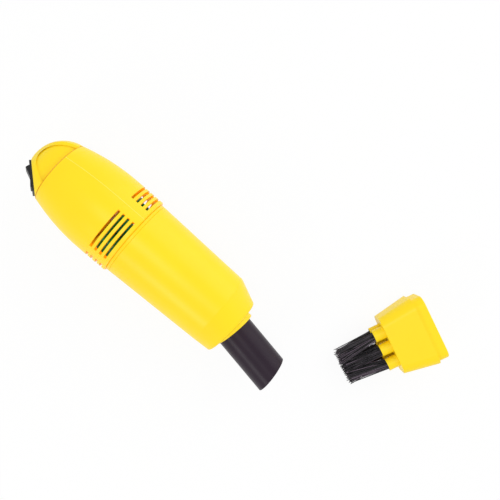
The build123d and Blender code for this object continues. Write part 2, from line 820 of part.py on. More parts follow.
def strand(index, mouth_y, mouth_z):
    """One three-sided strand, from the potting to its tip."""
    ring = math.sqrt((index + 0.5) / strand_count)
    turn = index * golden_turn
    reach = (ferrule_bore - 2 * strand_radius) * ring
    root = (mouth_y + reach * math.cos(turn), mouth_z + reach * math.sin(turn))
    lift = 0.8 * math.sin(2.7 * index)
    length = strand_length + lift
    tip = (
        mouth_y * strand_gather + reach * strand_spread * math.cos(turn),
        mouth_z * strand_gather + reach * strand_spread * math.sin(turn),
    )
    foot = Plane.YZ.offset(ferrule_end - potting_depth - 0.3) * Pos(*root) * RegularPolygon(strand_radius, 3)
    head_end = Plane.YZ.offset(ferrule_end + length) * Pos(*tip) * RegularPolygon(strand_radius * 0.7, 3)
    return loft([foot, head_end], ruled=True)


for place_y, place_z in ferrule_places:
    cup = rod(face_inside, ferrule_end, ferrule_radius)
    cup -= rod(ferrule_end - potting_depth - tuft_base, ferrule_end + 1, ferrule_bore)
    ferrules.append(Pos(0, place_y, place_z) * cup)
    potting = Pos(0, place_y, place_z) * rod(
        ferrule_end - potting_depth - tuft_base, ferrule_end - potting_depth, ferrule_bore
    )
    strands = [strand(index, place_y, place_z) for index in range(strand_count)]
    tufts.append(potting.fuse(*strands))

brush_parts = {
    "brush_head": head,
    "brush_back": back,
    "brush_ferrules": Part() + ferrules,
    "brush_tufts": Compound(children=[tuft for tuft in tufts]),
}
head_low = brush_height / 2 * math.cos(math.radians(head_taper))
brush_place = Pos(brush_x, brush_y, head_low - housing_radius) * Rot(0, 0, brush_heading) * Rot(0, head_taper, 0)
for name, shape in brush_parts.items():
    parts[name] = brush_place * shape

for name in ("tail_cap", "cable_grommet", "switch_case", "switch_rocker", "switch_contacts"):
    parts[name] = around(parts[name], -facet_angle)

# Stand everything on the desk with the middle of its footprint at the origin
footprint = Compound(children=[Compound(shape.solids()) for shape in parts.values()]).bounding_box()
stand = Pos(-(footprint.min.X + footprint.max.X) / 2, -(footprint.min.Y + footprint.max.Y) / 2, housing_radius)
os.makedirs("parts", exist_ok=True)
for name, shape in parts.items():
    export_step(stand * shape, f"parts/{name}.step")
print("origin of the seam:", stand.position)
print("switch pivot:", stand * around(switch_plane * Pos(0, 0, rocker_pivot_z), -facet_angle))
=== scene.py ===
"""Looks for a small hand-held desk vacuum and its loose brush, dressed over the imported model."""

from __future__ import annotations

import json
import logging
import math
from dataclasses import dataclass
from enum import Enum
from typing import Any, Iterable, Mapping

import bpy
from mathutils import Matrix, Vector

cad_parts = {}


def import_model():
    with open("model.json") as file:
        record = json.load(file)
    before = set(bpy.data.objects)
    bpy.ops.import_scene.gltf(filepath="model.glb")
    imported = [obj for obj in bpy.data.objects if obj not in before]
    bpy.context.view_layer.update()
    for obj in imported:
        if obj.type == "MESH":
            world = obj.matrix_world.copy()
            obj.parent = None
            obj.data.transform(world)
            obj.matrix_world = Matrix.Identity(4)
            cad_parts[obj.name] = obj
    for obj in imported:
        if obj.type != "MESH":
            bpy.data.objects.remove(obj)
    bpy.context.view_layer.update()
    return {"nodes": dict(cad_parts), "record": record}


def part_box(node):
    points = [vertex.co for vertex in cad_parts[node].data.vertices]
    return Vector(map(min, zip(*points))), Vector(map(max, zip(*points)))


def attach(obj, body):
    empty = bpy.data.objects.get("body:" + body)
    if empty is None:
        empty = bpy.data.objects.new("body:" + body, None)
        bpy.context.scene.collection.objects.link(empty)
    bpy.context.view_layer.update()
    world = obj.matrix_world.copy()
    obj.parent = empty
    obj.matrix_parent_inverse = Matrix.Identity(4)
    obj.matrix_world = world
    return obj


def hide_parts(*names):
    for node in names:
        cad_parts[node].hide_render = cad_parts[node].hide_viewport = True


LOG = logging.getLogger("desk_vacuum")
MM = 0.001
TINT = "tint"
ALONG = "along"
BEND = "bend"
Colour = tuple[float, float, float]
Place = tuple[float, float, float]
BLACK: Colour = (0.0, 0.0, 0.0)
WHITE: Colour = (1.0, 1.0, 1.0)


class Body(Enum):
    """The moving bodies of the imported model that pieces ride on."""

    HOUSING = "housing"
    ROTOR = "rotor"
    ROCKER = "rocker"
    FILTER = "filter"
    CHAMBER = "chamber"
    NOZZLE = "nozzle"
    BRUSH = "brush"


def opaque(colour: Colour) -> tuple[float, float, float, float]:
    """A colour with its full alpha."""
    return (*colour, 1.0)


def placed(name: str, data: bpy.types.ID) -> bpy.types.Object:
    """A new object with this data, linked into the scene."""
    made = bpy.data.objects.new(name, data)
    bpy.context.scene.collection.objects.link(made)
    return made


def dress(piece: bpy.types.Object, material: bpy.types.Material) -> None:
    """Give a piece this material and no other."""
    piece.data.materials.clear()
    piece.data.materials.append(material)


class Signal:
    """A number running through a material's nodes, written as plain arithmetic."""

    def __init__(self, tree: bpy.types.NodeTree, socket: bpy.types.NodeSocket) -> None:
        """Wrap an output socket of a node tree."""
        self.tree = tree
        self.socket = socket

    def maths(self, operation: str, *operands: Any, clamp: bool = False) -> "Signal":
        """Add one Math node.

        Args:
            operation: the Math node's operation.
            operands: signals or plain numbers, in the node's order.
            clamp: keep the result from 0 to 1.

        Returns:
            The node's result as a signal.
        """
        node = self.tree.nodes.new("ShaderNodeMath")
        node.operation = operation
        node.use_clamp = clamp
        for socket, operand in zip(node.inputs, operands):
            if isinstance(operand, Signal):
                self.tree.links.new(operand.socket, socket)
            else:
                socket.default_value = operand
        return Signal(self.tree, node.outputs[0])

    def __add__(self, other: Any) -> "Signal":
        """Sum."""
        return self.maths("ADD", self, other)

    __radd__ = __add__

    def __sub__(self, other: Any) -> "Signal":
        """Difference."""
        return self.maths("SUBTRACT", self, other)

    def __rsub__(self, other: Any) -> "Signal":
        """Difference from a plain number."""
        return self.maths("SUBTRACT", other, self)

    def __mul__(self, other: Any) -> "Signal":
        """Product."""
        return self.maths("MULTIPLY", self, other)

    __rmul__ = __mul__

    def __truediv__(self, other: Any) -> "Signal":
        """Quotient."""
        return self.maths("DIVIDE", self, other)

    def size(self) -> "Signal":
        """Distance from zero."""
        return self.maths("ABSOLUTE", self)

    def raised(self, power: float) -> "Signal":
        """The same number raised to a power."""
        return self.maths("POWER", self, power)

    def held(self) -> "Signal":
        """The same number, kept from 0 to 1."""
        return self.maths("ADD", self, 0.0, clamp=True)

    def around(self, middle: float, spread: float) -> "Signal":
        """Move a pattern that runs from 0 to 1.

        Args:
            middle: what 0.5 becomes.
            spread: how far apart 0 and 1 end up.

        Returns:
            The moved pattern.
        """
        return middle + (self - 0.5) * spread


class Bench:
    """Builds one material's node tree."""

    def __init__(self, name: str) -> None:
        """Start an empty node material."""
        self.material = bpy.data.materials.new(name)
        self.material.use_nodes = True
        self.tree = self.material.node_tree
        self.tree.nodes.clear()

    def node(
        self,
        kind: str,
        settings: Mapping[str, Any] | None = None,
        sockets: Mapping[Any, Any] | None = None,
    ) -> bpy.types.Node:
        """Add a node.

        Args:
            kind: the node's type name.
            settings: its own settings, set first.
            sockets: values, signals or output sockets for its inputs, by name or index.

        Returns:
            The new node.
        """
        made = self.tree.nodes.new(kind)
        for key, value in (settings or {}).items():
            setattr(made, key, value)
        for key, value in (sockets or {}).items():
            socket = made.inputs[key]
            if isinstance(value, Signal):
                self.tree.links.new(value.socket, socket)
            elif isinstance(value, bpy.types.NodeSocket):
                self.tree.links.new(value, socket)
            else:
                socket.default_value = value
        return made

    def signal(self, socket: bpy.types.NodeSocket) -> Signal:
        """An output socket of this tree as a signal."""
        return Signal(self.tree, socket)

    def place(self) -> bpy.types.NodeSocket:
        """The point on the object, in metres."""
        return self.node("ShaderNodeTexCoord").outputs["Object"]

    def noise(self, scale: float, detail: float = 2.0, roughness: float = 0.5) -> Signal:
        """Noise over the object.

        Args:
            scale: how many times the pattern repeats in a metre.
            detail: how many octaves it has.
            roughness: how strong the fine octaves are.

        Returns:
            The noise, from 0 to 1.
        """
        return self.noise_at(self.place(), scale, detail, roughness)

    def noise_at(
        self, place: bpy.types.NodeSocket, scale: float, detail: float = 2.0, roughness: float = 0.5
    ) -> Signal:
        """Noise at a point of one's own.

        Args:
            place: the point's socket.
            scale: how many times the pattern repeats in one unit of the point.
            detail: how many octaves it has.
            roughness: how strong the fine octaves are.

        Returns:
            The noise, from 0 to 1.
        """
        sockets = {"Vector": place, "Scale": scale, "Detail": detail, "Roughness": roughness}
        return self.signal(self.node("ShaderNodeTexNoise", sockets=sockets).outputs[0])

    def axes(self) -> tuple[Signal, Signal, Signal]:
        """The point's three coordinates in metres."""
        split = self.node("ShaderNodeSeparateXYZ", sockets={"Vector": self.place()})
        return tuple(self.signal(output) for output in split.outputs)

    def blend(self, share: Signal, first: Any, second: Any) -> bpy.types.NodeSocket:
        """Mix two colours.

        Args:
            share: 0 gives the first colour and 1 the second.
            first: a colour, or the socket of one.
            second: a colour, or the socket of one.

        Returns:
            The socket of the mixed colour.
        """
        made = self.node("ShaderNodeMix", {"data_type": "RGBA"}, {"Factor": share})
        for socket, value in ((made.inputs[6], first), (made.inputs[7], second)):
            if isinstance(value, bpy.types.NodeSocket):
                self.tree.links.new(value, socket)
            else:
                socket.default_value = opaque(value)
        return made.outputs[2]

    def bump(self, height: Signal, depth: float) -> bpy.types.NodeSocket:
        """Turn a height into a normal.

        Args:
            height: the surface's height, from 0 to 1.
            depth: the height's size in metres.

        Returns:
            The socket of the normal.
        """
        made = self.node("ShaderNodeBump", sockets={"Strength": 1.0, "Distance": depth, "Height": height})
        return made.outputs["Normal"]

    def close(self, sockets: Mapping[str, Any]) -> bpy.types.Material:
        """End the tree in a Principled shader.

        Args:
            sockets: the shader's inputs by name.

        Returns:
            The finished material.
        """
        shader = self.node("ShaderNodeBsdfPrincipled", sockets=sockets)
        self.node("ShaderNodeOutputMaterial", sockets={"Surface": shader.outputs[0]})
        return self.material


@dataclass(frozen=True)
class MouldedPlastic:
    """Injection-moulded plastic with a fine even grain and a slightly cloudy colour."""

    name: str
    colour: Colour
    shade: Colour
    roughness: float = 0.36
    roughness_spread: float = 0.08
    cloud_scale: float = 45.0
    cloud_detail: float = 3.0
    cloud_contrast: float = 1.6
    grain_scale: float = 1400.0
    grain_depth: float = 0.00002
    gloss: float = 0.4

    def surface(self, bench: Bench, grain: Signal) -> dict[str, Any]:
        """The shader's inputs for the plain plastic.

        Args:
            bench: the material's bench.
            grain: the grain's height.

        Returns:
            The inputs by name, without the normal.
        """
        cloud = bench.noise(self.cloud_scale, self.cloud_detail)
        share = cloud.around(0.5, self.cloud_contrast).held()
        return {
            "Base Color": bench.blend(share, self.colour, self.shade),
            "Roughness": grain.around(self.roughness, self.roughness_spread),
            "Specular IOR Level": self.gloss,
        }

    def make(self) -> bpy.types.Material:
        """Build the material."""
        bench = Bench(self.name)
        grain = bench.noise(self.grain_scale)
        inputs = self.surface(bench, grain)
        inputs["Normal"] = bench.bump(grain, self.grain_depth)
        return bench.close(inputs)


@dataclass(frozen=True, kw_only=True)
class PartedPlastic(MouldedPlastic):
    """Moulded plastic of a round shell in two halves, with painted orange shade on its slots' walls and at
    its rear rim, and a painted glow on the slots' walls.

    Its places are in metres from the seam, the point of the body's axis where the chamber starts.
    """

    line: Colour
    painted_shade: Colour
    painted_glow: Colour
    seam: Place
    rim_behind: float
    rim_line: float = 0.0005
    parting_turn: float = 64.5
    line_width: float = 0.00016
    line_depth: float = 0.00005
    slots_behind: float = 0.0165
    slot_walls_below: float = 0.0207
    edge: float = 0.0002

    def masks(self, bench: Bench) -> tuple[Signal, Signal, Signal]:
        """Where the parting line is, and where the painted shade of the slots' walls and of the rear rim
        goes.

        Args:
            bench: the material's bench.

        Returns:
            The three masks, from 0 to 1.
        """
        along, across, up = (axis - start for axis, start in zip(bench.axes(), self.seam))
        turn = math.radians(self.parting_turn)
        line = (1.0 - (up * math.cos(turn) - across * math.sin(turn)).size() / self.line_width).held()
        radius = (up * up + across * across).raised(0.5)
        inside = ((self.slot_walls_below - radius) / self.edge).held()
        among_slots = ((along + self.slots_behind) / self.edge).held()
        # where the painted shade along the rear rim's seam goes
        painted_rim_shade = ((self.rim_line - self.rim_behind - along) / self.edge).held()
        return line, inside * among_slots, painted_rim_shade

    def make(self) -> bpy.types.Material:
        """Build the material."""
        bench = Bench(self.name)
        grain = bench.noise(self.grain_scale)
        line, painted_slot_walls, painted_rim_shade = self.masks(bench)
        inputs = self.surface(bench, grain)
        marked = bench.blend(line, inputs["Base Color"], self.line)
        height = grain * (self.grain_depth / self.line_depth) - line
        # painted shade: a deeper orange on the slots' walls and along the rear rim's seam stands in for the
        # shade and bounced light there
        inputs["Base Color"] = bench.blend((painted_slot_walls + painted_rim_shade).held(), marked, self.painted_shade)
        # painted glow: the slots' walls give off orange light in place of light passing through the plastic
        inputs["Emission Color"] = bench.blend(painted_slot_walls, BLACK, self.painted_glow)
        inputs["Emission Strength"] = 1.0
        inputs["Normal"] = bench.bump(height, self.line_depth)
        return bench.close(inputs)


@dataclass(frozen=True)
class DrawnTube:
    """Satin extruded tube with fine lengthwise drawing marks."""

    name: str
    colour: Colour
    shade: Colour
    lean: float
    roughness: float = 0.37
    roughness_spread: float = 0.12
    cloud_scale: float = 120.0
    cloud_detail: float = 3.0
    marks_along: float = 60.0
    marks_across: float = 1800.0
    mark_depth: float = 0.000015
    gloss: float = 0.2

    def make(self) -> bpy.types.Material:
        """Build the material."""
        bench = Bench(self.name)
        stretch = (self.marks_along, self.marks_across, self.marks_across)
        turn = (0.0, 0.0, math.radians(self.lean))
        drawn = bench.node(
            "ShaderNodeMapping", sockets={"Vector": bench.place(), "Rotation": turn, "Scale": stretch}
        )
        marks = bench.noise_at(drawn.outputs[0], scale=1.0)
        cloud = bench.noise(self.cloud_scale, self.cloud_detail)
        return bench.close(
            {
                "Base Color": bench.blend(cloud, self.colour, self.shade),
                "Roughness": marks.around(self.roughness, self.roughness_spread),
                "Specular IOR Level": self.gloss,
                "Normal": bench.bump(marks, self.mark_depth),
            }
        )


@dataclass(frozen=True)
class MatteSurface:
    """Matte rubber, felt or fired ferrite with a coarse even surface."""

    name: str
    colour: Colour
    shade: Colour
    roughness: float = 0.75
    roughness_spread: float = 0.1
    grain_scale: float = 2600.0
    grain_detail: float = 3.0
    grain_sharpness: float = 0.6
    grain_depth: float = 0.00004

    def make(self) -> bpy.types.Material:
        """Build the material."""
        bench = Bench(self.name)
        grain = bench.noise(self.grain_scale, self.grain_detail, self.grain_sharpness)
        return bench.close(
            {
                "Base Color": bench.blend(grain, self.colour, self.shade),
                "Roughness": grain.around(self.roughness, self.roughness_spread),
                "Normal": bench.bump(grain, self.grain_depth),
            }
        )


@dataclass(frozen=True)
class BareMetal:
    """Plain metal with a faint rolled grain."""

    name: str
    colour: Colour
    shade: Colour
    roughness: float = 0.32
    roughness_spread: float = 0.15
    grain_scale: float = 900.0
    grain_detail: float = 3.0
    grain_depth: float = 0.00001

    def make(self) -> bpy.types.Material:
        """Build the material."""
        bench = Bench(self.name)
        grain = bench.noise(self.grain_scale, self.grain_detail)
        return bench.close(
            {
                "Base Color": bench.blend(grain, self.colour, self.shade),
                "Metallic": 1.0,
                "Roughness": grain.around(self.roughness, self.roughness_spread),
                "Normal": bench.bump(grain, self.grain_depth),
            }
        )


@dataclass(frozen=True)
class NylonStrand:
    """Black nylon whose colour and sheen differ from strand to strand."""

    name: str
    colour: Colour
    shade: Colour
    roughness: float = 0.38
    roughness_spread: float = 0.2
    mostly_dark: float = 4.0

    def make(self) -> bpy.types.Material:
        """Build the material."""
        bench = Bench(self.name)
        stored = bench.node("ShaderNodeAttribute", {"attribute_name": TINT})
        tint = bench.signal(stored.outputs["Fac"])
        return bench.close(
            {
                "Base Color": bench.blend(tint.raised(self.mostly_dark), self.colour, self.shade),
                "Roughness": tint.around(self.roughness, self.roughness_spread),
            }
        )


Finish = MouldedPlastic | DrawnTube | MatteSurface | BareMetal | NylonStrand

YELLOW: Colour = (1.0, 0.745, 0.011)
YELLOW_SHADE: Colour = (1.0, 0.715, 0.009)
YELLOW_LINE: Colour = (1.0, 0.90, 0.16)
# painted shade for the slots' walls and the rear rim's seam
YELLOW_PAINTED_SHADE: Colour = (0.85, 0.33, 0.002)
# painted glow for the slots' walls
YELLOW_PAINTED_GLOW: Colour = (0.42, 0.15, 0.001)
YELLOW_GLOSS = 0.28
TUBE_LEAN = 9.4

FINISHES: tuple[Finish, ...] = (
    MouldedPlastic("yellow_plastic", YELLOW, YELLOW_SHADE, gloss=YELLOW_GLOSS),
    DrawnTube("black_satin_plastic", (0.024, 0.013, 0.024), (0.018, 0.009, 0.018), TUBE_LEAN),
    MouldedPlastic("black_plastic", (0.02, 0.02, 0.021), (0.014, 0.014, 0.015), roughness=0.45),
    MatteSurface("black_rubber", (0.025, 0.025, 0.026), (0.018, 0.018, 0.018)),
    NylonStrand("bristle", (0.002, 0.002, 0.003), (0.20, 0.15, 0.20)),
    MouldedPlastic("green_plastic", (0.02, 0.40, 0.17), (0.015, 0.33, 0.13), roughness=0.3),
    MouldedPlastic("white_plastic", (0.8, 0.8, 0.77), (0.75, 0.75, 0.72)),
    MatteSurface("filter_cloth", (0.86, 0.86, 0.84), (0.7, 0.7, 0.68), roughness=0.9, grain_depth=0.0001),
    BareMetal("plated_steel", (0.6, 0.6, 0.62), (0.52, 0.52, 0.54)),
    BareMetal("lamination_steel", (0.33, 0.33, 0.35), (0.26, 0.26, 0.28)),
    MatteSurface("magnet", (0.11, 0.11, 0.12), (0.08, 0.08, 0.09), roughness=0.6),
    BareMetal("copper", (0.72, 0.33, 0.16), (0.6, 0.25, 0.12), roughness=0.4),
    BareMetal("bronze", (0.62, 0.45, 0.24), (0.52, 0.37, 0.18), roughness=0.4),
    MatteSurface("red_insulation", (0.5, 0.03, 0.02), (0.4, 0.02, 0.015), roughness=0.5),
)


class Paintbox:
    """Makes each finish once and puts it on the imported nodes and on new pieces."""

    def __init__(self, record: Mapping[str, Any]) -> None:
        """Read which slot each node has."""
        self.slot_of = {entry["node"]: entry["material_slot"] for entry in record["subparts"]}
        self.finishes = {finish.name: finish for finish in FINISHES}
        self.made: dict[str, bpy.types.Material] = {}

    def material(self, slot: str) -> bpy.types.Material:
        """The material of a slot."""
        if slot not in self.made:
            self.made[slot] = self.finishes[slot].make()
        return self.made[slot]

    def dress_nodes(self, nodes: Mapping[str, bpy.types.Object]) -> None:
        """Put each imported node's finish on it.

        Args:
            nodes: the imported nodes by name.
        """
        for name, node in nodes.items():
            dress(node, self.material(self.slot_of[name]))

    def mark_parting(self, shells: Iterable[bpy.types.Object], seam: Vector) -> None:
        """Give the housing's halves the line that they meet on, painted orange shade in their slots and at
        their rim, and a painted glow in their slots.

        Args:
            shells: the two halves.
            seam: the point of the body's axis where the chamber starts.
        """
        shells = list(shells)
        finish = PartedPlastic(
            "yellow_plastic_parted_painted_shade",
            YELLOW,
            YELLOW_SHADE,
            gloss=YELLOW_GLOSS,
            line=YELLOW_LINE,
            painted_shade=YELLOW_PAINTED_SHADE,
            painted_glow=YELLOW_PAINTED_GLOW,
            seam=tuple(seam),
            rim_behind=seam.x - min(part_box(shell.name)[0].x for shell in shells),
        )
        parted = finish.make()
        for shell in shells:
            dress(shell, parted)


class Growth:
    """Builds one Geometry Nodes tree and turns it into a plain mesh."""

    def __init__(self, name: str) -> None:
        """Start a tree with a geometry input and output."""
        self.tree = bpy.data.node_groups.new(name, "GeometryNodeTree")
        self.tree.interface.new_socket("Geometry", in_out="INPUT", socket_type="NodeSocketGeometry")
        self.tree.interface.new_socket("Geometry", in_out="OUTPUT", socket_type="NodeSocketGeometry")
        self.entry = self.tree.nodes.new("NodeGroupInput")
        self.exit = self.tree.nodes.new("NodeGroupOutput")
        self.values: dict[str, Any] = {}

    def size(self, name: str, value: float, kind: str = "NodeSocketFloat") -> bpy.types.NodeSocket:
        """Add a named input.

        Args:
            name: the input's name.
            value: what the modifier sets it to.
            kind: the socket's type.

        Returns:
            The input's socket inside the tree.
        """
        made = self.tree.interface.new_socket(name, in_out="INPUT", socket_type=kind)
        self.values[made.identifier] = value
        return self.entry.outputs[name]

    def node(
        self,
        kind: str,
        settings: Mapping[str, Any] | None = None,
        sockets: Mapping[Any, Any] | None = None,
    ) -> bpy.types.Node:
        """Add a node.

        Args:
            kind: the node's type name.
            settings: its own settings, set first.
            sockets: values or output sockets for its inputs, by name or index.

        Returns:
            The new node.
        """
        made = self.tree.nodes.new(kind)
        for key, value in (settings or {}).items():
            setattr(made, key, value)
        for key, value in (sockets or {}).items():
            if isinstance(value, bpy.types.NodeSocket):
                self.tree.links.new(value, made.inputs[key])
            else:
                made.inputs[key].default_value = value
        return made

    def vectors(self, operation: str, first: Any, second: Any) -> bpy.types.NodeSocket:
        """Vector arithmetic.

        Args:
            operation: ADD, SUBTRACT, MULTIPLY or SCALE.
            first: a vector or its socket.
            second: a vector or its socket, or a number or its socket for SCALE.

        Returns:
            The result's socket.
        """
        sockets = {0: first, 3 if operation == "SCALE" else 1: second}
        return self.node("ShaderNodeVectorMath", {"operation": operation}, sockets).outputs[0]

    def random(self, low: float, high: float, seed: bpy.types.NodeSocket) -> bpy.types.NodeSocket:
        """A random number for each point.

        Args:
            low: the lowest number.
            high: the highest number.
            seed: the seed's socket.

        Returns:
            The number's socket.
        """
        sockets = {2: low, 3: high, "Seed": seed}
        return self.node("FunctionNodeRandomValue", {"data_type": "FLOAT"}, sockets).outputs[1]

    def random_vector(self, seed: bpy.types.NodeSocket) -> bpy.types.NodeSocket:
        """A random vector for each point, with each of its numbers from -1 to 1."""
        sockets = {0: (-1.0, -1.0, -1.0), 1: (1.0, 1.0, 1.0), "Seed": seed}
        return self.node("FunctionNodeRandomValue", {"data_type": "FLOAT_VECTOR"}, sockets).outputs[0]

    def store(
        self, geometry: bpy.types.NodeSocket, name: str, kind: str, value: bpy.types.NodeSocket
    ) -> bpy.types.NodeSocket:
        """Keep a value with each point, under a name.

        Args:
            geometry: the points.
            name: the name to keep it under.
            kind: FLOAT or FLOAT_VECTOR.
            value: the value's socket.

        Returns:
            The points with their value.
        """
        settings = {"data_type": kind, "domain": "POINT"}
        sockets = {"Geometry": geometry, "Name": name, "Value": value}
        return self.node("GeometryNodeStoreNamedAttribute", settings, sockets).outputs[0]

    def stored(self, name: str, kind: str) -> bpy.types.NodeSocket:
        """A value that store kept under a name."""
        return self.node("GeometryNodeInputNamedAttribute", {"data_type": kind}, {"Name": name}).outputs[0]

    def realize(self, geometry: bpy.types.NodeSocket) -> bpy.types.NodeSocket:
        """Instances turned into real geometry."""
        return self.node("GeometryNodeRealizeInstances", sockets={"Geometry": geometry}).outputs[0]

    def finish(self, result: bpy.types.NodeSocket, material: bpy.types.Material) -> None:
        """End the tree in real geometry with its material.

        Args:
            result: the geometry with its instances.
            material: the material of all of it.
        """
        sockets = {"Geometry": self.realize(result), "Material": material}
        dressed = self.node("GeometryNodeSetMaterial", sockets=sockets)
        self.tree.links.new(dressed.outputs[0], self.exit.inputs[0])

    def bake(self, name: str, start: bpy.types.Mesh, place: Matrix) -> bpy.types.Object:
        """Run the tree and keep its result as a plain mesh in the row frame.

        Args:
            name: the new piece's name.
            start: the mesh that the tree starts from.
            place: where the tree's own frame lies in the row frame.

        Returns:
            The new piece.
        """
        seed = placed(f"{name}_seed", start)
        modifier = seed.modifiers.new("growth", "NODES")
        modifier.node_group = self.tree
        for identifier, value in self.values.items():
            modifier[identifier] = value
        graph = bpy.context.evaluated_depsgraph_get()
        mesh = bpy.data.meshes.new_from_object(seed.evaluated_get(graph), depsgraph=graph)
        mesh.transform(place)
        mesh.name = name
        bpy.data.objects.remove(seed)
        return placed(name, mesh)


@dataclass
class LooseBrush:
    """The brush that lies beside the vacuum, in millimetres and degrees.

    Its own frame starts at the step round its back, with X to the strands' tips.
    """

    seam: Vector
    paints: Paintbox
    step_at: Place = (138.2, 59.7, -9.392)
    heading: float = -113.3
    dip: float = 7.164
    head_length: float = 18.3
    ferrule_length: float = 5.8
    ferrule_bore: float = 2.6
    ferrule_pitch: float = 7.9
    row_pitch: float = 8.6
    root_depth: float = 3.6
    root_margin: float = 0.2
    strand_length: float = 20.8
    strand_radius: float = 0.15
    strand_sides: int = 5
    strand_runs: int = 8
    taper_from: float = 0.6
    tip_share: float = 0.55
    strands_per_area: float = 7.0
    disc_sides: int = 20
    seed: int = 7
    shade_seed: int = 23
    spread: float = 20.0
    gather: float = -14.0
    row_gather: float = 2.2
    stray: float = 0.03
    bend: float = 0.8
    bend_power: float = 2.0
    shortest: float = 0.9
    longest: float = 1.03

    def place(self) -> Matrix:
        """Where the brush's own frame lies in the row frame."""
        heading = Matrix.Rotation(math.radians(self.heading), 4, "Z")
        dip = Matrix.Rotation(math.radians(self.dip), 4, "Y")
        return Matrix.Translation(self.seam + Vector(self.step_at) * MM) @ heading @ dip

    def mouths(self) -> bpy.types.Mesh:
        """One point at the middle of each ferrule's potting."""
        x = (self.head_length + self.ferrule_length - self.root_depth) * MM
        points = [
            (x, column * self.ferrule_pitch * MM, row * self.row_pitch * MM)
            for row in (-0.5, 0.5)
            for column in (-1, 0, 1)
        ]
        mesh = bpy.data.meshes.new("ferrule_mouths")
        mesh.from_pydata(points, [], [])
        return mesh

    def strand(self, growth: Growth) -> bpy.types.NodeSocket:
        """One tapered strand along X.

        Args:
            growth: the tree it is added to.

        Returns:
            The strand's geometry.
        """
        length = growth.size("Strand length", (self.strand_length + self.root_depth) * MM)
        radius = growth.size("Strand radius", self.strand_radius * MM)
        tip = growth.node("ShaderNodeCombineXYZ", sockets={"X": length})
        line = growth.node("GeometryNodeCurvePrimitiveLine", sockets={"End": tip.outputs[0]})
        runs = growth.node(
            "GeometryNodeResampleCurve", sockets={"Curve": line.outputs[0], "Count": self.strand_runs}
        )
        along = growth.node("GeometryNodeSplineParameter").outputs["Factor"]
        taper = growth.node(
            "ShaderNodeMapRange",
            sockets={
                "Value": along,
                "From Min": self.taper_from,
                "From Max": 1.0,
                "To Min": 1.0,
                "To Max": self.tip_share,
            },
        )
        slim = growth.node(
            "GeometryNodeSetCurveRadius", sockets={"Curve": runs.outputs[0], "Radius": taper.outputs[0]}
        )
        marked = growth.store(slim.outputs[0], ALONG, "FLOAT", along)
        outline = growth.node(
            "GeometryNodeCurvePrimitiveCircle", sockets={"Resolution": self.strand_sides, "Radius": radius}
        )
        tube = growth.node(
            "GeometryNodeCurveToMesh",
            sockets={"Curve": marked, "Profile Curve": outline.outputs[0], "Fill Caps": True},
        )
        return tube.outputs[0]

    def roots(self, growth: Growth, seed: bpy.types.NodeSocket) -> bpy.types.NodeSocket:
        """Scatter the strands' roots over a disc in each ferrule.

        Args:
            growth: the tree they are added to.
            seed: the seed's socket.

        Returns:
            The roots as points.
        """
        reach = growth.size("Tuft radius", (self.ferrule_bore - self.root_margin) * MM)
        crowd = growth.size("Strands per area", self.strands_per_area / MM**2)
        disc = growth.node(
            "GeometryNodeMeshCircle", {"fill_type": "NGON"}, {"Vertices": self.disc_sides, "Radius": reach}
        )
        quarter_turn = (0.0, math.pi / 2, 0.0)
        upright = growth.node(
            "GeometryNodeTransform", sockets={"Geometry": disc.outputs[0], "Rotation": quarter_turn}
        )
        discs = growth.node(
            "GeometryNodeInstanceOnPoints",
            sockets={"Points": growth.entry.outputs[0], "Instance": upright.outputs[0]},
        )
        roots = growth.node(
            "GeometryNodeDistributePointsOnFaces",
            {"distribute_method": "RANDOM"},
            {"Mesh": growth.realize(discs.outputs[0]), "Density": crowd, "Seed": seed},
        )
        return roots.outputs[0]

    def leans(self, growth: Growth, loose: bpy.types.NodeSocket) -> bpy.types.NodeSocket:
        """Which way each strand points: out from its tuft, in to the brush's middle, and a little astray.

        Args:
            growth: the tree it is added to.
            loose: a random vector for each strand.

        Returns:
            The rotation's socket.
        """
        spread = growth.size("Spread", self.spread)
        gather = growth.size("Gather", self.gather)
        stray = growth.size("Stray", self.stray)
        at = growth.node("GeometryNodeInputPosition").outputs[0]
        nearest = growth.node("GeometryNodeSampleNearest", sockets={"Geometry": growth.entry.outputs[0]})
        middle = growth.node(
            "GeometryNodeSampleIndex",
            {"data_type": "FLOAT_VECTOR", "domain": "POINT"},
            {"Geometry": growth.entry.outputs[0], "Value": at, "Index": nearest.outputs[0]},
        ).outputs[0]
        across = growth.vectors("MULTIPLY", growth.vectors("SUBTRACT", at, middle), (0.0, 1.0, 1.0))
        inward = growth.vectors("MULTIPLY", middle, (0.0, 1.0, self.row_gather))
        outspread = growth.vectors("SCALE", across, spread)
        fan = growth.vectors("ADD", outspread, growth.vectors("SCALE", inward, gather))
        drift = growth.vectors("ADD", fan, growth.vectors("SCALE", loose, stray))
        lean = growth.vectors("ADD", (1.0, 0.0, 0.0), drift)
        return growth.node("FunctionNodeAlignRotationToVector", {"axis": "X"}, {"Vector": lean}).outputs[0]

    def bent(self, growth: Growth, strands: bpy.types.NodeSocket) -> bpy.types.NodeSocket:
        """Bend each strand more and more towards its tip.

        Args:
            growth: the tree it is added to.
            strands: the straight strands.

        Returns:
            The bent strands.
        """
        along = growth.stored(ALONG, "FLOAT")
        curve = growth.node("ShaderNodeMath", {"operation": "POWER"}, {0: along, 1: self.bend_power})
        offset = growth.vectors("SCALE", growth.stored(BEND, "FLOAT_VECTOR"), curve.outputs[0])
        moved = growth.node("GeometryNodeSetPosition", sockets={"Geometry": strands, "Offset": offset})
        return moved.outputs[0]

